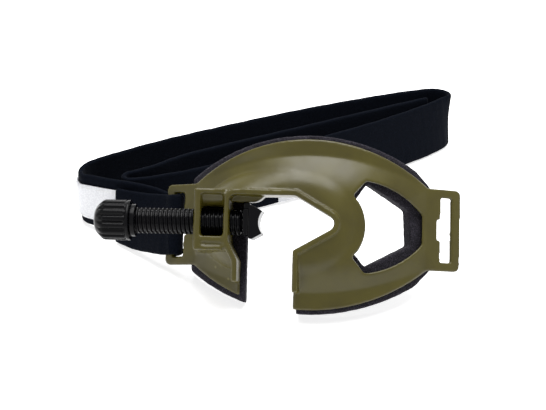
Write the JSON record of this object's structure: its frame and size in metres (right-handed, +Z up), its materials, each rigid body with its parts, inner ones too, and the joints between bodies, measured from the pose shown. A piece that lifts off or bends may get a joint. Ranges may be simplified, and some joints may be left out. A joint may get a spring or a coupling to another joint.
{
  "type": "endotracheal tube holder",
  "caption": "Curved face plate with a foam pad, a thumb-screw jaw that clamps a tube into a V notch, strap ears and a folded neck strap with hook tape.",
  "frame": {"origin": "under the middle of the whole holder as it lies, on the surface that it rests on", "axes": "+Z up, -Y the way the plate's front faces, +X from the knob towards the empty ear"},
  "size_m": [0.166, 0.1438, 0.0592],
  "materials": {
    "plate_plastic": "injection moulded olive drab, satin",
    "foam": "closed-cell foam, dark grey",
    "film": "thin adhesive film",
    "black_plastic": "injection moulded nylon, glossy black",
    "strap_fabric": "brushed loop fabric, black",
    "hook_tape": "white hook tape"
  },
  "bodies": {
    "holder": {"face_plate": "plate_plastic", "foam_pad": "foam", "foam_adhesive": "film", "neck_strap": "strap_fabric", "strap_ear_end": "strap_fabric", "hook_tape_ear_end": "hook_tape", "hook_tape_free_end": "hook_tape"},
    "jaw": {"cradle_jaw": "black_plastic"},
    "screw": {"clamp_screw": "black_plastic", "screw_knob": "black_plastic"}
  },
  "joints": [
    {"name": "jaw_travel", "type": "slide", "parent": "holder", "child": "jaw", "axis": [0.9958, -0.0858, 0.0326], "range_m": [-0.0048, 0.022]},
    {"name": "screw_turn", "type": "hinge", "parent": "jaw", "child": "screw", "pos_m": [-0.03498, -0.04498, 0.03204], "axis": [0.9958, -0.0858, 0.0326], "range_deg": [-1017, 4659]}
  ],
  "couplings": [
    {"joint": "screw_turn", "follows": "jaw_travel", "rad_per_m": 3696}
  ]
}
